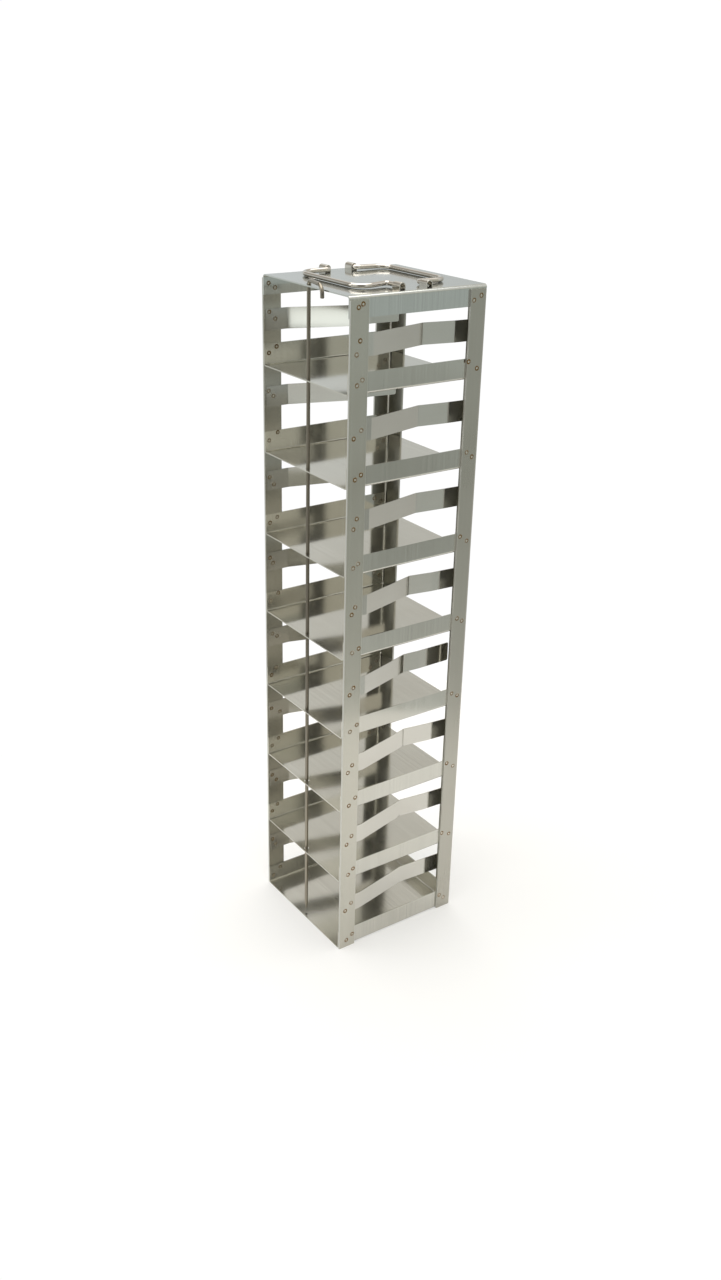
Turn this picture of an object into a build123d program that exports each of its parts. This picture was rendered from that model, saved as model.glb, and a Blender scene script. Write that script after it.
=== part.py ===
from build123d import *
import math
import os

# Upright rack for freezer boxes: nine folded sheet trays held by four corner
# posts, with a pair of bent spring strips in each of the eight compartments,
# a locking rod down the open front and two folding wire handles on top.
#
# Frame: millimetres, origin at the bottom centre, +Z up, the open front
# faces -Y, left is -X and right is +X.

os.makedirs("parts", exist_ok=True)

# ------------------------------------------------------------ dimensions ----
WIDTH = 142.8             # over the outer faces of the corner posts
DEPTH = 147.0             # front edge of the trays to the rear post face
HEIGHT = 664.0            # underside of the bottom tray to top of the top tray
PITCH = 83.0              # tray spacing
COMPARTMENTS = 8

POST_T = 2.0              # post sheet thickness
POST_W = 19.0             # post width seen from the side
REAR_LEG = 24.0           # width of the rear leg of the rear angle posts
POST_TOP = 660.5          # the posts stop just under the fold of the top tray
POST_BEND = 3.5           # outer bend radius of the rear angles
POST_EDGE = 0.3           # broken long edges

TRAY_T = 1.0              # shelf and bottom sheet
TRAY_BEND = 2.4           # outer fold radius of those
SHELF_FLANGE = {"left": 20.3, "right": 19.0}    # over the underside
BOTTOM_FLANGE = 21.0
BOTTOM_LIP = 20.3         # rear lip of the bottom tray
TOP_T = 1.2
TOP_BEND = 3.0
TOP_FLANGE = 18.5         # turned down, measured from the top face

ROD_D = 3.5
ROD_Y = -68.7
ROD_HOLE_D = 5.0
DRAIN_D = 3.0             # small hole behind the bottom tray's front edge
DRAIN_AT = (3.5, -70.8)
ROD_TIP_Z = 7.0
ROD_TOP_Z = 667.7         # centre of the hook's level run
ROD_BEND = 5.5
HOOK_REACH = 33.2
HOOK_DIR = (0.9757, -0.2198)
HOOK_BEND = 8.0
HOOK_END_Z = 657.0

WIRE_D = 4.2              # handle wire
PIVOT_Z = 667.0
PIVOT_Y = 14.5
BAR_Y = 47.5
BAR_Z = 666.4             # the bars lie a little lower, just off the plate
ARM_LEFT = 48.7           # both handles have slid to the left in their loops
ARM_RIGHT = {"handle_front": 40.2, "handle_rear": 44.8}
FLARE = {"handle_front": 6.6, "handle_rear": 0.0}   # the front one was bent wider
WIRE_END_LEFT = 62.8
WIRE_END_RIGHT = 57.0
CORNER_R = 12.0
EYE_BEND_R = 3.75

LOOP_IN_R = 2.45          # inside radius of the handle loops
LOOP_T = 0.8
LOOP_X0 = 52.1
LOOP_X1 = 62.8

STRIP_T = 0.6
STRIP_H = 19.5
STRIP_FRONT_Y = -71.4
STRIP_BEND_Y = -47.7
STRIP_END_Y = 66.5

WELD_R = 2.4              # electrode mark of a spot weld on the post's face
WELD_DEPTH = 0.12

PX = WIDTH / 2            # outer post face
IX = PX - POST_T          # inner post face, outer flange face
FRONT = -DEPTH / 2
REAR = DEPTH / 2
TRAY_REAR = REAR - POST_BEND - 0.2      # clear of the rear angles' inner bend

SHELF_Z = [HEIGHT - PITCH * k for k in range(1, COMPARTMENTS)]  # undersides

# Spring strips, top to bottom: height of the middle line, and the path seen
# from above (half-width, y) of the crease and of the bend behind it.
STRIP_RIGHT = [
    (622.7, (52.6, 17.3), (58.2, 48.6), 59.3),
    (549.6, (53.9, 14.5), (57.6, 44.6), 58.8),
    (467.2, (54.7, 15.7), (57.8, 45.7), 58.9),
    (384.0, (52.3, 13.8), (56.4, 37.6), 58.6),
    (301.0, (51.4, 11.6), (52.6, 28.8), 52.0),
    (217.5, (53.1, 14.2), (57.0, 42.5), 58.7),
    (134.5, (54.0, 12.7), (57.4, 40.5), 58.8),
    (51.4, (55.9, 14.3), (57.5, 43.4), 58.7),
]
STRIP_LEFT = [
    (622.8, (50.0, 13.5), (52.9, 36.0), 50.2),
    (551.5, (51.4, 14.5), (55.2, 38.5), 51.2),
    (469.3, (55.0, 15.0), (57.6, 42.0), 57.4),
    (385.2, (54.2, 15.2), (57.6, 39.5), 56.6),
    (301.8, (53.0, 14.1), (56.3, 42.0), 56.4),
    (218.0, (53.7, 15.3), (56.6, 43.7), 57.9),
    (135.0, (53.2, 13.9), (56.5, 42.1), 57.8),
    (52.9, (54.0, 15.0), (56.9, 44.5), 58.0),
]

# Spot welds, two at each joint, as (y, z) on the outer face of each post.
WELDS_FRONT_LEFT = [
    (-68.3, 655.6), (-61.5, 651.2), (-67.5, 629.7), (-61.1, 623.1),
    (-68.4, 592.5), (-60.2, 597.7), (-69.0, 557.0), (-63.8, 551.6),
    (-69.0, 509.3), (-59.5, 516.1), (-68.8, 472.7), (-64.0, 464.8),
    (-69.0, 426.3), (-60.7, 430.9), (-69.3, 389.4), (-65.7, 383.3),
    (-69.2, 343.0), (-60.1, 349.8), (-67.1, 306.0), (-61.7, 302.1),
    (-68.9, 259.2), (-63.2, 266.8), (-69.0, 220.0), (-58.9, 213.5),
    (-68.9, 175.4), (-61.2, 182.2), (-70.0, 138.8), (-63.9, 131.4),
    (-69.6, 93.4), (-62.9, 100.1), (-70.6, 56.5), (-65.4, 49.2),
    (-68.6, 8.4), (-60.0, 16.2),
]
WELDS_FRONT_RIGHT = [
    (-65.3, 654.7), (-60.8, 657.0), (-63.1, 627.1), (-66.5, 615.8),
    (-60.1, 594.0), (-65.5, 589.6), (-60.1, 550.3), (-67.9, 543.9),
    (-59.4, 510.5), (-65.7, 506.9), (-62.9, 470.5), (-66.3, 461.1),
    (-60.5, 427.3), (-65.7, 424.0), (-62.5, 385.2), (-66.3, 378.4),
    (-57.5, 342.2), (-64.8, 339.4), (-62.5, 302.4), (-66.8, 295.8),
    (-57.7, 261.4), (-65.5, 256.0), (-62.0, 217.9), (-67.1, 210.8),
    (-57.5, 179.6), (-65.0, 172.7), (-61.0, 135.8), (-66.8, 127.4),
    (-58.3, 95.6), (-64.3, 90.2), (-59.6, 53.6), (-66.9, 46.3),
    (-57.5, 13.3), (-64.7, 8.4),
]
WELDS_REAR_RIGHT = [
    (58.0, 651.2), (66.1, 654.9), (55.7, 597.6), (65.8, 590.7),
    (59.6, 513.5), (66.1, 508.4), (57.7, 431.2), (66.1, 425.6),
    (59.9, 345.6), (66.1, 341.8), (58.6, 263.3), (66.0, 259.2),
    (57.6, 182.4), (66.0, 176.7), (56.4, 97.1), (66.0, 93.0),
    (57.7, 16.4), (63.5, 11.2),
]
WELDS_REAR_LEFT = [
    (58.7, 652.4), (65.9, 655.2), (57.0, 596.4), (65.4, 591.8),
    (58.9, 514.2), (66.1, 507.6), (56.7, 430.4), (65.6, 426.2),
    (59.2, 347.3), (65.9, 342.9), (57.5, 264.6), (65.7, 258.6),
    (58.4, 181.2), (65.5, 177.8), (57.1, 98.6), (65.9, 92.2),
    (58.8, 15.2), (64.7, 10.0),
]


def save(part, name):
    part.label = name
    export_step(part, "parts/" + name + ".step")


# ----------------------------------------------------------------- trays ----
# Top tray: side flanges folded down inside the posts, a hole for the rod.
with BuildPart() as top_plate:
    with BuildSketch(Plane.XZ.offset(-REAR)):
        with BuildLine():
            zb = HEIGHT - TOP_FLANGE
            outer = FilletPolyline(
                (-IX, zb), (-IX, HEIGHT), (IX, HEIGHT), (IX, zb),
                radius=TOP_BEND)
            inner = FilletPolyline(
                (-IX + TOP_T, zb), (-IX + TOP_T, HEIGHT - TOP_T),
                (IX - TOP_T, HEIGHT - TOP_T), (IX - TOP_T, zb),
                radius=TOP_BEND - TOP_T)
            Line(outer @ 0, inner @ 0)
            Line(outer @ 1, inner @ 1)
        make_face()
    extrude(amount=DEPTH)
    # the flanges stop in front of the rear legs of the rear posts
    with BuildSketch(Plane.XY.offset(zb - 1)):
        with Locations((-IX, (TRAY_REAR + REAR + 1) / 2),
                       (IX, (TRAY_REAR + REAR + 1) / 2)):
            Rectangle(12.0, REAR + 1 - TRAY_REAR)
    extrude(amount=POST_TOP + 0.2 - (zb - 1), mode=Mode.SUBTRACT)
    with BuildSketch(Plane.XY.offset(HEIGHT - 5)):
        with Locations((0, ROD_Y)):
            Circle(ROD_HOLE_D / 2)
    extrude(amount=10, mode=Mode.SUBTRACT)
save(top_plate.part, "top_plate")

# Seven shelves: flat sheet with a flange folded up along each side.
for index, z in enumerate(SHELF_Z):
    with BuildPart() as shelf:
        with BuildSketch(Plane.XZ.offset(-TRAY_REAR)):
            with BuildLine():
                outer = FilletPolyline(
                    (-IX, z + SHELF_FLANGE["left"]), (-IX, z), (IX, z),
                    (IX, z + SHELF_FLANGE["right"]), radius=TRAY_BEND)
                inner = FilletPolyline(
                    (-IX + TRAY_T, z + SHELF_FLANGE["left"]),
                    (-IX + TRAY_T, z + TRAY_T), (IX - TRAY_T, z + TRAY_T),
                    (IX - TRAY_T, z + SHELF_FLANGE["right"]),
                    radius=TRAY_BEND - TRAY_T)
                Line(outer @ 0, inner @ 0)
                Line(outer @ 1, inner @ 1)
            make_face()
        extrude(amount=TRAY_REAR - FRONT)
        with BuildSketch(Plane.XY.offset(z - 2)):
            with Locations((0, ROD_Y)):
                Circle(ROD_HOLE_D / 2)
        extrude(amount=5, mode=Mode.SUBTRACT)
    save(shelf.part, "shelf_%d" % (index + 1))

# Bottom tray: side flanges and a rear lip folded up, relieved at the corners.
with BuildPart() as bottom_plate:
    lip_y = REAR - POST_T
    plate_end = lip_y - TRAY_BEND - 0.4
    with BuildSketch(Plane.XZ.offset(-plate_end)):
        with BuildLine():
            outer = FilletPolyline(
                (-IX, BOTTOM_FLANGE), (-IX, 0), (IX, 0), (IX, BOTTOM_FLANGE),
                radius=TRAY_BEND)
            inner = FilletPolyline(
                (-IX + TRAY_T, BOTTOM_FLANGE), (-IX + TRAY_T, TRAY_T),
                (IX - TRAY_T, TRAY_T), (IX - TRAY_T, BOTTOM_FLANGE),
                radius=TRAY_BEND - TRAY_T)
            Line(outer @ 0, inner @ 0)
            Line(outer @ 1, inner @ 1)
        make_face()
    extrude(amount=plate_end - FRONT)
    with BuildSketch(Plane.YZ.offset(-IX + 3.4)):
        with BuildLine():
            outer = FilletPolyline(
                (plate_end - 6, 0), (lip_y, 0), (lip_y, BOTTOM_LIP),
                radius=TRAY_BEND)
            inner = FilletPolyline(
                (plate_end - 6, TRAY_T), (lip_y - TRAY_T, TRAY_T),
                (lip_y - TRAY_T, BOTTOM_LIP), radius=TRAY_BEND - TRAY_T)
            Line(outer @ 0, inner @ 0)
            Line(outer @ 1, inner @ 1)
        make_face()
    extrude(amount=2 * (IX - 3.4))
    with BuildSketch(Plane.XY.offset(-2)):
        with Locations(DRAIN_AT):
            Circle(DRAIN_D / 2)
    extrude(amount=5, mode=Mode.SUBTRACT)
save(bottom_plate.part, "bottom_plate")

# ----------------------------------------------------------------- posts ----
# Front posts are flat bars on the sides; rear posts are bent angles. Each
# spot weld leaves a shallow round electrode mark in the outer face.
for side, sx, welds in (("left", -1, WELDS_FRONT_LEFT),
                        ("right", 1, WELDS_FRONT_RIGHT)):
    with BuildPart() as front_post:
        with BuildSketch(Plane.XY):
            with Locations((sx * (IX + PX) / 2, FRONT + POST_W / 2)):
                RectangleRounded(POST_T, POST_W, POST_EDGE)
        extrude(amount=POST_TOP)
        with BuildSketch(Plane.YZ.offset(sx * PX)):
            with Locations(*welds):
                Circle(WELD_R)
        extrude(amount=-sx * WELD_DEPTH, mode=Mode.SUBTRACT)
    save(front_post.part, "front_%s_post" % side)

for side, sx, welds in (("left", -1, WELDS_REAR_LEFT),
                        ("right", 1, WELDS_REAR_RIGHT)):
    with BuildPart() as rear_post:
        with BuildSketch(Plane.XY):
            with BuildLine():
                outer = FilletPolyline(
                    (sx * PX, REAR - POST_W), (sx * PX, REAR),
                    (sx * (PX - REAR_LEG), REAR), radius=POST_BEND)
                inner = FilletPolyline(
                    (sx * IX, REAR - POST_W), (sx * IX, REAR - POST_T),
                    (sx * (PX - REAR_LEG), REAR - POST_T),
                    radius=POST_BEND - POST_T)
                Line(outer @ 0, inner @ 0)
                Line(outer @ 1, inner @ 1)
            make_face()
        extrude(amount=POST_TOP)
        with BuildSketch(Plane.YZ.offset(sx * PX)):
            with Locations(*welds):
                Circle(WELD_R)
        extrude(amount=-sx * WELD_DEPTH, mode=Mode.SUBTRACT)
    save(rear_post.part, "rear_%s_post" % side)

# --------------------------------------------------------- spring strips ----
# One bent strip each side of every compartment: its front end is welded flat
# on the front post, the rest leans in to a crease and returns to a free end.
for side, sx, strips in (("left", -1, STRIP_LEFT), ("right", 1, STRIP_RIGHT)):
    for index, (z, crease, knee, end_x) in enumerate(strips):
        with BuildPart() as strip:
            with BuildSketch(Plane.XY.offset(z - STRIP_H / 2)):
                with BuildLine():
                    FilletPolyline(
                        (sx * IX, STRIP_FRONT_Y), (sx * IX, STRIP_BEND_Y),
                        (sx * crease[0], crease[1]),
                        (sx * knee[0], knee[1]),
                        (sx * end_x, STRIP_END_Y),
                        radius=[4.0, 3.0, 25.0])
                    offset(amount=STRIP_T, closed=True,
                           side=Side.LEFT if sx > 0 else Side.RIGHT)
                make_face()
            extrude(amount=STRIP_H)
            fillet(strip.edges().filter_by(
                lambda e: e.length < STRIP_T * 1.05
                and e.center().Y > STRIP_END_Y - 2
                and abs(e.center().Z - z) > STRIP_H / 2 - 0.1), radius=1.5)
        save(strip.part, "spring_strip_%s_%d" % (side, index + 1))

# --------------------------------------------------------------- handles ----
# Two wire bails lie flat on the top tray and turn up about their own ends.
for name, sy in (("handle_front", -1), ("handle_rear", 1)):
    with BuildPart() as handle:
        with BuildLine():
            FilletPolyline(
                (-WIRE_END_LEFT, sy * PIVOT_Y, PIVOT_Z),
                (-ARM_LEFT, sy * PIVOT_Y, PIVOT_Z),
                (-ARM_LEFT, sy * BAR_Y, BAR_Z),
                (ARM_RIGHT[name] + FLARE[name], sy * BAR_Y, BAR_Z),
                (ARM_RIGHT[name], sy * PIVOT_Y, PIVOT_Z),
                (WIRE_END_RIGHT, sy * PIVOT_Y, PIVOT_Z),
                radius=[EYE_BEND_R, CORNER_R, CORNER_R, EYE_BEND_R])
        with BuildSketch(Plane.YZ.offset(-WIRE_END_LEFT)):
            with Locations((sy * PIVOT_Y, PIVOT_Z)):
                Circle(WIRE_D / 2)
        sweep()
        chamfer(handle.edges().filter_by(GeomType.CIRCLE).filter_by(
            lambda e: e.center().X < 0.1 - WIRE_END_LEFT
            or e.center().X > WIRE_END_RIGHT - 0.1), length=0.4)
    save(handle.part, name)

# Each handle end turns in a loop: a short strap bent over the wire, with its
# two feet welded on the top tray and both ends left open.
for name, sx, sy in (("handle_loop_front_left", -1, -1),
                     ("handle_loop_front_right", 1, -1),
                     ("handle_loop_rear_left", -1, 1),
                     ("handle_loop_rear_right", 1, 1)):
    with BuildPart() as loop:
        with BuildSketch(Plane.YZ.offset(LOOP_X0 if sx > 0 else -LOOP_X1)):
            yc = sy * PIVOT_Y
            out_r = LOOP_IN_R + LOOP_T
            with BuildLine():
                Line((yc - out_r, HEIGHT), (yc - out_r, PIVOT_Z))
                ThreePointArc((yc - out_r, PIVOT_Z), (yc, PIVOT_Z + out_r),
                              (yc + out_r, PIVOT_Z))
                Line((yc + out_r, PIVOT_Z), (yc + out_r, HEIGHT))
                Line((yc + out_r, HEIGHT), (yc + LOOP_IN_R, HEIGHT))
                Line((yc + LOOP_IN_R, HEIGHT), (yc + LOOP_IN_R, PIVOT_Z))
                ThreePointArc((yc + LOOP_IN_R, PIVOT_Z),
                              (yc, PIVOT_Z + LOOP_IN_R),
                              (yc - LOOP_IN_R, PIVOT_Z))
                Line((yc - LOOP_IN_R, PIVOT_Z), (yc - LOOP_IN_R, HEIGHT))
                Line((yc - LOOP_IN_R, HEIGHT), (yc - out_r, HEIGHT))
            make_face()
        extrude(amount=LOOP_X1 - LOOP_X0)
        fillet(loop.edges().filter_by(
            lambda e: e.center().Z > PIVOT_Z + 0.5), radius=0.25)
    save(loop.part, name)

# ----------------------------------------------------------- locking rod ----
# A straight rod through the front edge of every tray, bent at the top into a
# hook that hangs over the front edge; its lower end is tapered.
with BuildPart() as locking_rod:
    taper = 6.0
    with BuildLine():
        hook_x = HOOK_REACH * HOOK_DIR[0]
        hook_y = ROD_Y + HOOK_REACH * HOOK_DIR[1]
        FilletPolyline(
            (0, ROD_Y, ROD_TIP_Z + taper), (0, ROD_Y, ROD_TOP_Z),
            (hook_x, hook_y, ROD_TOP_Z), (hook_x, hook_y, HOOK_END_Z),
            radius=[ROD_BEND, HOOK_BEND])
    with BuildSketch(Plane.XY.offset(ROD_TIP_Z + taper)):
        with Locations((0, ROD_Y)):
            Circle(ROD_D / 2)
    sweep()
    fillet(locking_rod.edges().filter_by(GeomType.CIRCLE).filter_by(
        lambda e: abs(e.center().Z - HOOK_END_Z) < 0.01), radius=0.8)
    with BuildSketch(Plane.XY.offset(ROD_TIP_Z)):
        with Locations((0, ROD_Y)):
            Circle(0.7)
    with BuildSketch(Plane.XY.offset(ROD_TIP_Z + taper)):
        with Locations((0, ROD_Y)):
            Circle(ROD_D / 2)
    loft()
save(locking_rod.part, "locking_rod")
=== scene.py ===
import math
import random

import bpy
import numpy as np
from mathutils import Matrix, Vector


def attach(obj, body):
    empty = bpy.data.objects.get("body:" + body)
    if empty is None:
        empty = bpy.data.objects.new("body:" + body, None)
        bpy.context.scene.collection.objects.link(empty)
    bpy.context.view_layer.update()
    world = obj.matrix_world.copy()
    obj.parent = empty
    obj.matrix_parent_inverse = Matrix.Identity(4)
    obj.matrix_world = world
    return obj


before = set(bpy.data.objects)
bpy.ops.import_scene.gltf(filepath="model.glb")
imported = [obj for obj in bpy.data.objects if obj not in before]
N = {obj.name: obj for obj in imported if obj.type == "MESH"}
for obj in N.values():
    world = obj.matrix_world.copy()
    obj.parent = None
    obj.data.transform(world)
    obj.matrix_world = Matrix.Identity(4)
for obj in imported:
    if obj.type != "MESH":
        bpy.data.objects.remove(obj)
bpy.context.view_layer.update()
scene = bpy.context.scene

# ---------------------------------------------------------------- helpers ----


class Tree:
    """Small wrapper that adds nodes to a material's tree and links them."""

    def __init__(self, mat):
        mat.use_nodes = True
        self.t = mat.node_tree
        self.t.nodes.clear()
        self.out = self.add("ShaderNodeOutputMaterial")

    def add(self, kind, **values):
        n = self.t.nodes.new(kind)
        for k, v in values.items():
            setattr(n, k, v)
        return n

    def link(self, a, b):
        self.t.links.new(a, b)

    def coords(self):
        return self.add("ShaderNodeTexCoord").outputs["Object"]

    def mapped(self, vec, scale=(1, 1, 1), loc=(0, 0, 0), rot=(0, 0, 0)):
        m = self.add("ShaderNodeMapping")
        m.inputs["Scale"].default_value = scale
        m.inputs["Location"].default_value = loc
        m.inputs["Rotation"].default_value = rot
        self.link(vec, m.inputs["Vector"])
        return m.outputs[0]

    def noise(self, vec, scale=1.0, detail=2.0, rough=0.5, distortion=0.0):
        n = self.add("ShaderNodeTexNoise")
        n.inputs["Scale"].default_value = scale
        n.inputs["Detail"].default_value = detail
        n.inputs["Roughness"].default_value = rough
        n.inputs["Distortion"].default_value = distortion
        self.link(vec, n.inputs["Vector"])
        return n.outputs[0]

    def ramp(self, fac, stops, interpolation="LINEAR"):
        r = self.add("ShaderNodeValToRGB")
        r.color_ramp.interpolation = interpolation
        els = r.color_ramp.elements
        while len(els) < len(stops):
            els.new(0.5)
        for e, (pos, col) in zip(els, stops):
            e.position = pos
            e.color = (*col, 1.0) if len(col) == 3 else col
        self.link(fac, r.inputs["Fac"])
        return r.outputs["Color"]

    def grey(self, fac, stops):
        return self.ramp(fac, [(p, (v, v, v)) for p, v in stops])

    def math(self, op, a, b=None, c=None, clamp=False):
        n = self.add("ShaderNodeMath", operation=op, use_clamp=clamp)
        for i, v in enumerate((a, b, c)):
            if v is None:
                continue
            if isinstance(v, (int, float)):
                n.inputs[i].default_value = v
            else:
                self.link(v, n.inputs[i])
        return n.outputs[0]

    def remap(self, v, a, b, c, d):
        n = self.add("ShaderNodeMapRange")
        n.inputs["From Min"].default_value = a
        n.inputs["From Max"].default_value = b
        n.inputs["To Min"].default_value = c
        n.inputs["To Max"].default_value = d
        self.link(v, n.inputs["Value"])
        return n.outputs[0]

    def mix(self, fac, a, b, mode="MIX"):
        n = self.add("ShaderNodeMix", data_type="RGBA", blend_type=mode)
        for s, v in ((n.inputs[0], fac), (n.inputs[6], a), (n.inputs[7], b)):
            if isinstance(v, (int, float)):
                s.default_value = v
            elif isinstance(v, (tuple, list)):
                s.default_value = (*v, 1.0)
            else:
                self.link(v, s)
        return n.outputs[2]

    def bump(self, height, strength, distance, normal=None):
        b = self.add("ShaderNodeBump")
        b.inputs["Strength"].default_value = strength
        b.inputs["Distance"].default_value = distance
        self.link(height, b.inputs["Height"])
        if normal is not None:
            self.link(normal, b.inputs["Normal"])
        return b.outputs[0]

    def split(self, vec):
        s = self.add("ShaderNodeSeparateXYZ")
        self.link(vec, s.inputs[0])
        return s.outputs


def steel(name, base, rough, spread=0.03, aniso=0.0, tangent=None,
          grain=(6, 1500, 6), tint=0.03, bump=0.03, smudge=0.05,
          smudge_scale=14.0, stain=0.0, seed=0.0, scratches=0.0,
          scratch_scale=(30, 2200, 30), scratch_rot=0.0, cut_y=(),
          streak=0.22, crown=None, bend=None, metal=0.92, under=None,
          along=None, shade_and_highlight_boxes=()):
    """A worked stainless steel. Long fine grain changes its colour, gloss and
    height a little, a few wider rolling streaks run with it, and broad uneven
    patches from handling lie over both. Each entry of shade_and_highlight_boxes is
    a box of low and high corners. It gives the colour that the steel is multiplied
    by inside it, which paints shade where it is below one and a highlight where it
    is above one, and the change of its roughness."""
    m = bpy.data.materials.new(name)
    t = Tree(m)
    b = t.add("ShaderNodeBsdfPrincipled")
    b.inputs["Metallic"].default_value = metal
    if aniso:
        b.inputs["Anisotropic"].default_value = aniso
    if tangent:
        c = t.add("ShaderNodeCombineXYZ")
        for i in range(3):
            c.inputs[i].default_value = tangent[i]
        t.link(c.outputs[0], b.inputs["Tangent"])
    co = t.coords()
    fine = t.noise(t.mapped(co, grain, loc=(seed, seed * 1.7, seed * 0.3)),
                   1.0, 4.0, 0.6)
    wide = t.noise(t.mapped(co, tuple(x * streak if x > 50 else x * 0.6
                                      for x in grain),
                            loc=(seed * 2.3, seed, 3.1)), 1.0, 3.0, 0.6)
    both = t.math("MULTIPLY_ADD", wide, 0.45, t.math("MULTIPLY", fine, 0.55))
    patches = t.noise(t.mapped(co, (1, 1, 1), loc=(seed, 0.4, seed)),
                      smudge_scale, 3.0, 0.55, 0.4)
    dark = tuple(x * (1 - tint) for x in base)
    light = tuple(min(1.0, x * (1 + tint)) for x in base)
    col = t.ramp(both, [(0.34, dark), (0.66, light)])
    pd = tuple(1 - smudge * k for k in (0.8, 0.95, 1.15))
    col = t.mix(1.0, col, t.ramp(patches, [(0.32, pd), (0.62, (1, 1, 1))]),
                "MULTIPLY")
    if stain:
        drops = t.noise(t.mapped(co, (1, 1, 1), loc=(seed * 3, 2.2, 0.9)),
                        90.0, 3.0, 0.6, 0.8)
        mark = t.math("MULTIPLY", t.grey(drops, [(0.64, 0.0), (0.70, 1.0)]),
                      stain)
        col = t.mix(mark, col, tuple(x * k for x, k in
                                     zip(base, (0.78, 0.70, 0.58))))
    r = t.remap(both, 0.3, 0.7, rough - spread, rough + spread)
    r = t.math("MULTIPLY_ADD", t.remap(patches, 0.3, 0.7, -1.0, 1.0),
               smudge * 0.4, r)
    h = both
    if scratches:
        sc = t.noise(t.mapped(co, scratch_scale, rot=(0.0, 0.0, scratch_rot)),
                     1.0, 2.0, 0.5)
        line = t.grey(sc, [(0.70, 0.0), (0.74, 1.0)])
        r = t.math("MULTIPLY_ADD", line, scratches, r)
        h = t.math("MULTIPLY_ADD", line, -0.4, h)
    if cut_y:
        # sheared edges of the bar are rougher and lighter than its faces
        y = t.split(co)[1]
        for edge in cut_y:
            near = t.math("LESS_THAN", t.math(
                "ABSOLUTE", t.math("SUBTRACT", y, edge)), 0.00025)
            r = t.math("MULTIPLY_ADD", near, 0.16, r)
            col = t.mix(near, col, (0.66, 0.655, 0.61))
    if bend is not None:
        # painted shade: the inner faces inside the bend are darkened
        x, y = t.split(co)[:2]
        inner = t.math("MULTIPLY",
                       t.math("LESS_THAN", t.math("ABSOLUTE", x),
                              bend[0] + 0.0017),
                       t.math("LESS_THAN", y, bend[1] + 0.0017))
        col = t.mix(inner, col, t.mix(1.0, col, (0.64, 0.65, 0.64),
                                      "MULTIPLY"))
        # painted highlight: the inside of the fold is painted bright, and it is
        # also made glossier
        painted_fold_highlight = t.math("MULTIPLY",
                      t.math("GREATER_THAN", t.math("ABSOLUTE", x), bend[0]),
                      t.math("GREATER_THAN", y, bend[1]))
        painted_fold_highlight = t.math("MULTIPLY", painted_fold_highlight, t.math("MULTIPLY", t.math(
            "LESS_THAN", t.math("ABSOLUTE", x), bend[0] + 0.00146),
            t.math("LESS_THAN", y, bend[1] + 0.00146)))
        col = t.mix(painted_fold_highlight, col, (0.93, 0.915, 0.86))
        r = t.math("MULTIPLY_ADD", painted_fold_highlight, -0.12, r)
    # painted light: each box multiplies the colour inside it, darker for painted
    # shade, lighter for a painted highlight
    for low, high, by, gloss in shade_and_highlight_boxes:
        inside = None
        for axis, value in enumerate(t.split(co)[:3]):
            for op, limit in (("GREATER_THAN", low[axis]),
                              ("LESS_THAN", high[axis])):
                one = t.math(op, value, limit)
                inside = one if inside is None else t.math("MULTIPLY", inside,
                                                           one)
        col = t.mix(inside, col, t.mix(1.0, col, by, "MULTIPLY"))
        r = t.math("MULTIPLY_ADD", inside, gloss, r)
    if under is not None:
        # painted shade: the underside of the wire, where it lies on the tray, is
        # darkened
        underside_shade = t.ramp(t.remap(t.split(co)[2], under[0], under[1], 0.0, 1.0),
                      [(0.0, (under[2], under[2], under[2] * 0.96)),
                       (1.0, (1, 1, 1))])
        col = t.mix(1.0, col, underside_shade, "MULTIPLY")
    if along is not None:
        # painted shade: the rod is darker along the middle of its height than at
        # its ends
        shade = t.grey(t.remap(t.split(co)[2], along[0], along[1], 0.0, 1.0),
                       along[2])
        col = t.mix(1.0, col, shade, "MULTIPLY")
    t.link(col, b.inputs["Base Color"])
    t.link(r, b.inputs["Roughness"])
    shape = None
    if crown is not None:
        # a rolled strip is slightly hollow across its height: its lower half
        # leans up a little more than its upper half
        x, y, z = t.split(co)[:3]
        lean = t.math("MULTIPLY_ADD", z, -CROWN / 0.00975,
                      crown[1] + CROWN * crown[0] / 9.75)
        free = t.math("MULTIPLY", t.math("LESS_THAN", x, 0.0),
                      t.math("GREATER_THAN", y, -0.0475))
        lean = t.math("MULTIPLY", lean, free)
        up_by = t.add("ShaderNodeCombineXYZ")
        t.link(lean, up_by.inputs[2])
        plus = t.add("ShaderNodeVectorMath", operation="ADD")
        t.link(t.add("ShaderNodeNewGeometry").outputs["Normal"],
               plus.inputs[0])
        t.link(up_by.outputs[0], plus.inputs[1])
        unit = t.add("ShaderNodeVectorMath", operation="NORMALIZE")
        t.link(plus.outputs[0], unit.inputs[0])
        shape = unit.outputs[0]
    t.link(t.bump(h, bump, 0.00004, shape), b.inputs["Normal"])
    t.link(b.outputs[0], t.out.inputs["Surface"])
    return m


def dress(node, mat):
    o = N[node]
    o.data.materials.clear()
    o.data.materials.append(mat)


# -------------------------------------------------------------- materials ----
TRAY_GRAIN = (5, 1500, 5)         # along the folded profile: across, then up
POST_GRAIN = (1500, 1500, 4)
STRIP_GRAIN = (6, 6, 1500)
CROWN = 0.020                     # change of a strip's lean over half its height
STRIP_SET = ((622.8, 0.024), (551.5, 0.012), (469.3, 0.012), (385.2, 0.012),
             (301.8, 0.012), (218.0, 0.012), (135.0, 0.012), (52.9, 0.012))

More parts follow.
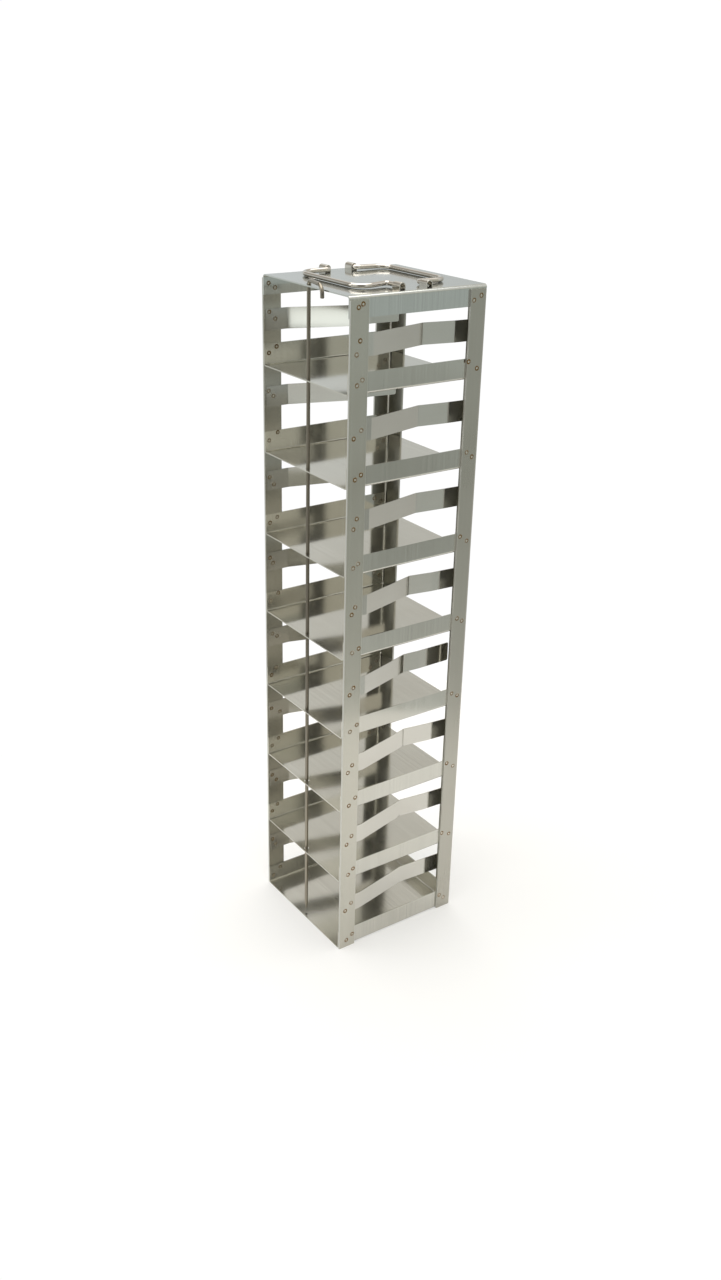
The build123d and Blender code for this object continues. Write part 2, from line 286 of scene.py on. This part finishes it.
top_mat = steel("Top_sheet", (0.675, 0.694, 0.663), 0.105, 0.02, 0.35,
                (0, 1, 0), TRAY_GRAIN, 0.09, 0.03, 0.03, seed=1.3,
                scratches=0.03, streak=0.40)
shelf_mats = [
    steel("Shelf_sheet_%d" % k, (0.68, 0.67, 0.61),
          (0.10, 0.10, 0.10, 0.10, 0.10, 0.11, 0.13, 0.17)[k - 1], 0.02, 0.3,
          (0, 1, 0), TRAY_GRAIN, 0.075 if k < 8 else 0.11, 0.03, 0.05,
          stain=0.10, seed=2.0 + k * 0.7, scratches=0.03, streak=0.40,
          shade_and_highlight_boxes=() if k < 8 else (
              # painted shade: the inner face of the bottom tray's left flange is
              # darkened
              ((-0.0700, -0.08, 0.0030), (-0.0670, 0.08, 0.03),
               (0.78, 0.785, 0.80), 0.04),
              # painted highlight: the fold at the foot of that flange is lightened
              # and made glossier
              ((-0.0690, -0.08, 0.0008), (-0.0665, 0.08, 0.0030),
               (1.28, 1.28, 1.28), -0.06)))
    for k in range(1, 9)]
post_mat = steel("Post_steel", (0.625, 0.608, 0.535), 0.19, 0.02, 0.25,
                 (0.7071, 0.7071, 0.0), POST_GRAIN, 0.02, 0.02, 0.05, 9.0,
                 seed=5.1, cut_y=(-0.0735, -0.0545, 0.0545),
                 # painted shade: the inner face of the front-left post is darkened
                 # below 590 mm
                 shade_and_highlight_boxes=(((-0.0699, -0.0733, -0.01), (-0.0690, -0.0547, 0.590),
                        (0.81, 0.81, 0.82), 0.0),))
angle_mat = steel("Angle_steel", (0.53, 0.515, 0.455), 0.285, 0.006, 0.15,
                  (0.7071, 0.7071, 0.0), POST_GRAIN, 0.02, 0.02, 0.05, 9.0,
                  seed=8.7, cut_y=(-0.0735, -0.0545, 0.0545),
                  # painted shade on the inner faces of the angle, and a painted
                  # highlight along its fold
                  bend=(0.06794, 0.07004), metal=0.97)
strip_mats = [
    steel("Spring_steel_%d" % k, (0.71, 0.695, 0.64), 0.085, 0.015, 0.2,
          (0, 0, 1), STRIP_GRAIN, 0.02, 0.015, 0.05, 11.0,
          seed=7.0 + k * 0.9, crown=z,
          # painted shade: the left strips are darkened where they run close to the
          # front post
          shade_and_highlight_boxes=(((-0.0720, -0.08, -0.01), (-0.0600, -0.0478, 0.68),
                 (0.79, 0.79, 0.80), 0.05),))
    for k, z in enumerate(STRIP_SET)]
rod_mat = steel("Drawn_rod", (0.375, 0.34, 0.275), 0.13, 0.03, 0.0, None,
                (900, 900, 9), 0.10, 0.12, 0.08, 30.0, seed=3.3,
                # painted shade along the rod's height
                along=(0.0, 0.66, [(0.0, 1.0), (0.15, 0.94), (0.32, 0.68),
                                   (0.58, 0.53), (0.80, 0.66), (0.96, 0.84)]))
wire_mat = steel("Polished_wire", (0.74, 0.70, 0.64), 0.06, 0.015, 0.0, None,
                 (60, 400, 400), 0.02, 0.03, 0.05, 60.0, seed=4.4, metal=1.0,
                 # painted shade under the wire where it lies on the tray
                 under=(0.6655, 0.6664, 0.42))
loop_mat = steel("Strap_steel", (0.72, 0.69, 0.625), 0.10, 0.03, 0.0, None,
                 (60, 500, 500), 0.06, 0.12, 0.08, 80.0, seed=6.6, metal=1.0)

dress("top_plate", top_mat)
for k in range(1, 8):
    dress("shelf_%d" % k, shelf_mats[k - 1])
dress("bottom_plate", shelf_mats[7])
for n in ("front_left_post", "front_right_post"):
    dress(n, post_mat)
for n in ("rear_left_post", "rear_right_post"):
    dress(n, angle_mat)
for s in ("left", "right"):
    for k in range(1, 9):
        dress("spring_strip_%s_%d" % (s, k), strip_mats[k - 1])
for n in ("handle_front", "handle_rear"):
    dress(n, wire_mat)
for n in ("handle_loop_front_left", "handle_loop_front_right",
          "handle_loop_rear_left", "handle_loop_rear_right"):
    dress(n, loop_mat)
dress("locking_rod", rod_mat)

# ------------------------------------------------------------ spot welds ----
# Two at each joint, at the same place on both sides of the sheets: (y, z) mm.
WELDS = {
    "front_left": [
        (-68.3, 655.6), (-61.5, 651.2), (-67.5, 629.7), (-61.1, 623.1),
        (-68.4, 592.5), (-60.2, 597.7), (-69.0, 557.0), (-63.8, 551.6),
        (-69.0, 509.3), (-59.5, 516.1), (-68.8, 472.7), (-64.0, 464.8),
        (-69.0, 426.3), (-60.7, 430.9), (-69.3, 389.4), (-65.7, 383.3),
        (-69.2, 343.0), (-60.1, 349.8), (-67.1, 306.0), (-61.7, 302.1),
        (-68.9, 259.2), (-63.2, 266.8), (-69.0, 220.0), (-58.9, 213.5),
        (-68.9, 175.4), (-61.2, 182.2), (-70.0, 138.8), (-63.9, 131.4),
        (-69.6, 93.4), (-62.9, 100.1), (-70.6, 56.5), (-65.4, 49.2),
        (-68.6, 8.4), (-60.0, 16.2)],
    "front_right": [
        (-65.3, 654.7), (-60.8, 657.0), (-63.1, 627.1), (-66.5, 615.8),
        (-60.1, 594.0), (-65.5, 589.6), (-60.1, 550.3), (-67.9, 543.9),
        (-59.4, 510.5), (-65.7, 506.9), (-62.9, 470.5), (-66.3, 461.1),
        (-60.5, 427.3), (-65.7, 424.0), (-62.5, 385.2), (-66.3, 378.4),
        (-57.5, 342.2), (-64.8, 339.4), (-62.5, 302.4), (-66.8, 295.8),
        (-57.7, 261.4), (-65.5, 256.0), (-62.0, 217.9), (-67.1, 210.8),
        (-57.5, 179.6), (-65.0, 172.7), (-61.0, 135.8), (-66.8, 127.4),
        (-58.3, 95.6), (-64.3, 90.2), (-59.6, 53.6), (-66.9, 46.3),
        (-57.5, 13.3), (-64.7, 8.4)],
    "rear_right": [
        (58.0, 651.2), (66.1, 654.9), (55.7, 597.6), (65.8, 590.7),
        (59.6, 513.5), (66.1, 508.4), (57.7, 431.2), (66.1, 425.6),
        (59.9, 345.6), (66.1, 341.8), (58.6, 263.3), (66.0, 259.2),
        (57.6, 182.4), (66.0, 176.7), (56.4, 97.1), (66.0, 93.0),
        (57.7, 16.4), (63.5, 11.2)],
    "rear_left": [
        (58.7, 652.4), (65.9, 655.2), (57.0, 596.4), (65.4, 591.8),
        (58.9, 514.2), (66.1, 507.6), (56.7, 430.4), (65.6, 426.2),
        (59.2, 347.3), (65.9, 342.9), (57.5, 264.6), (65.7, 258.6),
        (58.4, 181.2), (65.5, 177.8), (57.1, 98.6), (65.9, 92.2),
        (58.8, 15.2), (64.7, 10.0)],
}
RECESS = 0.12                     # depth of the electrode mark in the posts
SHEET_IN = {"top": 68.2, "strip": 68.8, "tray": 68.4}


def weld_material():
    m = bpy.data.materials.new("Weld_tint")
    t = Tree(m)
    b = t.add("ShaderNodeBsdfPrincipled")
    b.inputs["Metallic"].default_value = 1.0
    co = t.coords()
    r = t.add("ShaderNodeAttribute", attribute_name="weld_r").outputs["Fac"]
    k = t.add("ShaderNodeAttribute", attribute_name="weld_k").outputs["Fac"]
    wob = t.noise(t.mapped(co, (1, 1, 1)), 520.0, 2.0, 0.5)
    rr = t.math("MULTIPLY_ADD", t.math("SUBTRACT", wob, 0.5), 0.30, r)
    ring = t.grey(rr, [(0.30, 0.0), (0.48, 0.85), (0.62, 1.0), (0.93, 1.0),
                       (1.05, 0.45)])
    patch = t.noise(t.mapped(co, (1, 1, 1), loc=(0.3, 0.1, 0.7)), 330.0, 1.0,
                    0.5)
    ring = t.math("MULTIPLY", ring, t.remap(patch, 0.36, 0.58, 0.65, 1.0))
    ring = t.math("MULTIPLY", ring, k, clamp=True)
    tint = t.ramp(rr, [(0.42, (0.36, 0.24, 0.10)),
                       (0.64, (0.165, 0.090, 0.030)),
                       (0.88, (0.200, 0.115, 0.042)),
                       (0.98, (0.42, 0.32, 0.18))])
    steel_col = t.ramp(t.noise(t.mapped(co, (1, 1, 1)), 900.0, 2.0, 0.5),
                       [(0.35, (0.70, 0.68, 0.60)), (0.65, (0.84, 0.82, 0.75))])
    t.link(t.mix(ring, steel_col, tint), b.inputs["Base Color"])
    t.link(t.remap(ring, 0.0, 1.0, 0.24, 0.42), b.inputs["Roughness"])
    t.link(t.bump(wob, 0.25, 0.00006), b.inputs["Normal"])
    t.link(b.outputs[0], t.out.inputs["Surface"])
    return m


weld_mat = weld_material()


def weld_discs(name, spots):
    """Shallow dished round marks with a low dome in the middle. spots:
    (x, y, z, facing, radius, strength), facing +1 or -1 along x, in mm."""
    tall = 1.0 if "outside" in name else 0.5
    profile = [(q, h * tall) for q, h in (
        (0.0, 0.060), (0.22, 0.054), (0.42, 0.022), (0.60, 0.0),
        (0.78, 0.022), (0.92, 0.070), (1.0, 0.095))]
    seg = 20
    verts, faces, rr, kk = [], [], [], []
    for x, y, z, face, rad, k in spots:
        start = len(verts)
        verts.append(((x + face * profile[0][1]) / 1000, y / 1000, z / 1000))
        rr.append(0.0)
        kk.append(k)
        for q, h in profile[1:]:
            for s in range(seg):
                a = 2 * math.pi * s / seg
                verts.append(((x + face * h) / 1000,
                              (y + rad * q * math.cos(a)) / 1000,
                              (z + rad * q * math.sin(a)) / 1000))
                rr.append(q)
                kk.append(k)
        for s in range(seg):
            n = (s + 1) % seg
            tri = (start, start + 1 + s, start + 1 + n)
            faces.append(tri if face > 0 else tri[::-1])
            for ring in range(len(profile) - 2):
                a = start + 1 + ring * seg
                quad = (a + s, a + seg + s, a + seg + n, a + n)
                faces.append(quad if face > 0 else quad[::-1])
    me = bpy.data.meshes.new(name)
    me.from_pydata(verts, [], faces)
    for nm, vals in (("weld_r", rr), ("weld_k", kk)):
        at = me.attributes.new(nm, "FLOAT", "POINT")
        at.data.foreach_set("value", np.array(vals, np.float32))
    for p in me.polygons:
        p.use_smooth = True
    me.materials.append(weld_mat)
    me.update()
    o = bpy.data.objects.new(name, me)
    scene.collection.objects.link(o)
    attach(o, "rack")
    return o


rng = random.Random(11)
for corner, spots in WELDS.items():
    sx = -1 if "left" in corner else 1
    outer, inner = [], []
    strips = corner.startswith("front")
    for i, (y, z) in enumerate(spots):
        k = rng.uniform(0.85, 1.2)
        outer.append((sx * (71.4 - RECESS + 0.010), y, z, sx, 2.38, k))
        joint = i // 2
        if joint == 0:
            kind = "top"
        elif strips and joint % 2 == 1:
            kind = "strip"
        else:
            kind = "tray"
        xin = SHEET_IN[kind] - 0.012
        yin = max(y, -69.1) if kind == "strip" else y
        inner.append((sx * xin, yin, z, -sx, rng.uniform(2.1, 2.3),
                      rng.uniform(0.75, 1.15)))
    weld_discs("weld_marks_%s_outside" % corner, outer)
    weld_discs("weld_marks_%s_inside" % corner, inner)

# ------------------------------------------------------------------ stage ----
def stage_material(name, colour, rough):
    m = bpy.data.materials.new(name)
    t = Tree(m)
    b = t.add("ShaderNodeBsdfPrincipled")
    b.inputs["Roughness"].default_value = rough
    b.inputs["Specular IOR Level"].default_value = 0.2
    n = t.noise(t.coords(), 2.0, 2.0, 0.5)
    c2 = tuple(x * 0.985 for x in colour)
    t.link(t.ramp(n, [(0.3, c2), (0.7, colour)]), b.inputs["Base Color"])
    t.link(b.outputs[0], t.out.inputs["Surface"])
    return m


def floor_material():
    m = stage_material("Pale_floor", (0.72, 0.72, 0.715), 0.7)
    t = m.node_tree
    b = next(n for n in t.nodes if n.type == "BSDF_PRINCIPLED")
    link = b.inputs["Base Color"].links[0]
    co = t.nodes.new("ShaderNodeTexCoord")
    sp = t.nodes.new("ShaderNodeSeparateXYZ")
    t.links.new(co.outputs["Object"], sp.inputs[0])
    # under the bottom tray no light reaches the floor
    inside = None
    for axis, half in ((0, 0.066), (1, 0.0722)):
        a = t.nodes.new("ShaderNodeMath")
        a.operation = "ABSOLUTE"
        t.links.new(sp.outputs[axis], a.inputs[0])
        c = t.nodes.new("ShaderNodeMath")
        c.operation = "LESS_THAN"
        c.inputs[1].default_value = half
        t.links.new(a.outputs[0], c.inputs[0])
        if inside is None:
            inside = c.outputs[0]
        else:
            mu = t.nodes.new("ShaderNodeMath")
            mu.operation = "MULTIPLY"
            t.links.new(inside, mu.inputs[0])
            t.links.new(c.outputs[0], mu.inputs[1])
            inside = mu.outputs[0]
    mx = t.nodes.new("ShaderNodeMix")
    mx.data_type = "RGBA"
    t.links.new(inside, mx.inputs[0])
    t.links.new(link.from_socket, mx.inputs[6])
    mx.inputs[7].default_value = (0.035, 0.03, 0.022, 1.0)
    t.links.new(mx.outputs[2], b.inputs["Base Color"])
    t.links.new(mx.outputs[2], b.inputs["Emission Color"])
    # the floor stays pale to the eye and sends less light into the metal
    ray = t.nodes.new("ShaderNodeLightPath")
    glow = t.nodes.new("ShaderNodeMapRange")
    glow.inputs["To Min"].default_value = 0.20
    glow.inputs["To Max"].default_value = 0.40
    t.links.new(ray.outputs["Is Camera Ray"], glow.inputs["Value"])
    t.links.new(glow.outputs[0], b.inputs["Emission Strength"])
    return m


def floor():
    seg, rad = 96, 0.55
    verts = [(0, 0, 0)] + [(rad * math.cos(2 * math.pi * i / seg),
                            rad * math.sin(2 * math.pi * i / seg), 0)
                           for i in range(seg)]
    faces = [(0, 1 + i, 1 + (i + 1) % seg) for i in range(seg)]
    me = bpy.data.meshes.new("floor")
    me.from_pydata(verts, [], faces)
    me.materials.append(floor_material())
    o = bpy.data.objects.new("floor", me)
    scene.collection.objects.link(o)
    return o


floor()

world = bpy.data.worlds.new("Studio")
scene.world = world
world.use_nodes = True
wt = world.node_tree
wt.nodes.clear()


def wadd(kind, **v):
    n = wt.nodes.new(kind)
    for k, x in v.items():
        setattr(n, k, x)
    return n


wout = wadd("ShaderNodeOutputWorld")
wco = wadd("ShaderNodeTexCoord")
wsep = wadd("ShaderNodeSeparateXYZ")
wt.links.new(wco.outputs["Generated"], wsep.inputs[0])
# the studio as the metal sees it: light above and on the table below, a
# cool grey band near the horizon, and soft darker and lighter areas around it
up = wadd("ShaderNodeValToRGB")
els = up.color_ramp.elements
HORIZON = [(0.0, (0.98, 0.97, 0.93)), (0.20, (0.98, 0.97, 0.93)),
           (0.29, (0.86, 0.855, 0.82)), (0.37, (0.76, 0.77, 0.74)),
           (0.43, (0.73, 0.76, 0.74)), (0.50, (0.72, 0.76, 0.76)),
           (0.575, (0.79, 0.83, 0.845)), (0.612, (0.95, 0.99, 1.0)),
           (0.67, (0.97, 0.975, 0.96)),
           (0.80, (1.0, 0.985, 0.95))]
while len(els) < len(HORIZON):
    els.new(0.5)
for e, (p, c) in zip(els, HORIZON):
    e.position = p
    e.color = (*c, 1)
zr = wadd("ShaderNodeMapRange")
zr.inputs["From Min"].default_value = -1
zr.inputs["From Max"].default_value = 1
wt.links.new(wsep.outputs[2], zr.inputs["Value"])
wt.links.new(zr.outputs[0], up.inputs["Fac"])
studio = up.outputs["Color"]


def lobe(colour, az, el, inner, outer, factor):
    """Multiply the studio by factor within inner degrees of a direction,
    fading out at outer degrees. az: 0 is the front, 90 the right side."""
    a, e = math.radians(az), math.radians(el)
    dot = wadd("ShaderNodeVectorMath", operation="DOT_PRODUCT")
    dot.inputs[1].default_value = (math.sin(a) * math.cos(e),
                                   -math.cos(a) * math.cos(e), math.sin(e))
    wt.links.new(wco.outputs["Generated"], dot.inputs[0])
    mr = wadd("ShaderNodeMapRange", interpolation_type="SMOOTHSTEP")
    mr.inputs["From Min"].default_value = math.cos(math.radians(outer))
    mr.inputs["From Max"].default_value = math.cos(math.radians(inner))
    mr.inputs["To Min"].default_value = 0.0
    mr.inputs["To Max"].default_value = 1.0
    wt.links.new(dot.outputs["Value"], mr.inputs["Value"])
    mx = wadd("ShaderNodeMix", data_type="RGBA", blend_type="MULTIPLY")
    wt.links.new(mr.outputs[0], mx.inputs[0])
    wt.links.new(colour, mx.inputs[6])
    mx.inputs[7].default_value = (*factor, 1.0)
    return mx.outputs[2]


studio = lobe(studio, 121, -13, 8, 26, (0.70, 0.735, 0.72))
studio = lobe(studio, 127, -18, 1, 8, (0.70, 0.70, 0.69))
studio = lobe(studio, 157, -8, 7, 20, (0.74, 0.74, 0.72))
studio = lobe(studio, 52, 12, 16, 38, (0.22, 0.21, 0.19))
studio = lobe(studio, 122, 17, 10, 28, (0.80, 0.77, 0.69))
studio = lobe(studio, 88.5, -5.5, 2, 5.5, (2.25, 2.28, 2.30))
studio = lobe(studio, 305, -20, 10, 28, (1.12, 1.12, 1.12))
studio = lobe(studio, 300, 34, 10, 32, (0.48, 0.46, 0.43))
studio = lobe(studio, 200, 20, 10, 45, (0.72, 0.70, 0.66))
lp = wadd("ShaderNodeLightPath")
bg_studio = wadd("ShaderNodeBackground")
bg_studio.inputs["Strength"].default_value = 0.80
wt.links.new(studio, bg_studio.inputs["Color"])
bg_plain = wadd("ShaderNodeBackground")
bg_plain.inputs["Color"].default_value = (1.0, 1.0, 1.0, 1)
bg_plain.inputs["Strength"].default_value = 1.02
pick = wadd("ShaderNodeMixShader")
wt.links.new(lp.outputs["Is Camera Ray"], pick.inputs["Fac"])
wt.links.new(bg_studio.outputs[0], pick.inputs[1])
wt.links.new(bg_plain.outputs[0], pick.inputs[2])
wt.links.new(pick.outputs[0], wout.inputs["Surface"])


def area(name, loc, target, size, power, colour=(1, 1, 1)):
    light = bpy.data.lights.new(name, "AREA")
    light.shape = "RECTANGLE"
    light.size, light.size_y = size
    light.energy = power
    light.color = colour
    o = bpy.data.objects.new(name, light)
    o.location = loc
    o.rotation_mode = "QUATERNION"
    o.rotation_quaternion = (Vector(target) - Vector(loc)).to_track_quat("-Z", "Y")
    scene.collection.objects.link(o)
    return o


area("Overhead_soft", (-0.2, -0.1, 2.3), (0, 0, 0.2), (2.4, 2.4), 34.0,
     (1.0, 0.98, 0.945))
area("Front_left_soft", (-1.3, -1.9, 1.3), (0, 0, 0.35), (1.0, 1.4), 4.5)

# ----------------------------------------------------------------- camera ----
cam_data = bpy.data.cameras.new("Camera")
cam_data.sensor_width = 36.0
cam_data.sensor_fit = "AUTO"
cam_data.lens = 34.705
cam_data.clip_start = 0.01
cam_data.clip_end = 100.0
cam = bpy.data.objects.new("Camera", cam_data)
scene.collection.objects.link(cam)
az, el, roll = (math.radians(v) for v in (54.665, 24.627, 1.364))
back = Vector((math.sin(az) * math.cos(el), -math.cos(az) * math.cos(el),
               math.sin(el)))
right = Vector((0, 0, 1)).cross(back).normalized()
upc = back.cross(right)
r2 = right * math.cos(roll) + upc * math.sin(roll)
u2 = -right * math.sin(roll) + upc * math.cos(roll)
mw = Matrix((r2, u2, back)).transposed().to_4x4()
mw.translation = Vector((0.923776, -0.65999, 0.829522))
cam.matrix_world = mw
scene.camera = cam

scene.view_settings.view_transform = "Standard"
scene.view_settings.look = "None"
scene.view_settings.exposure = 0.0
scene.view_settings.gamma = 1.0
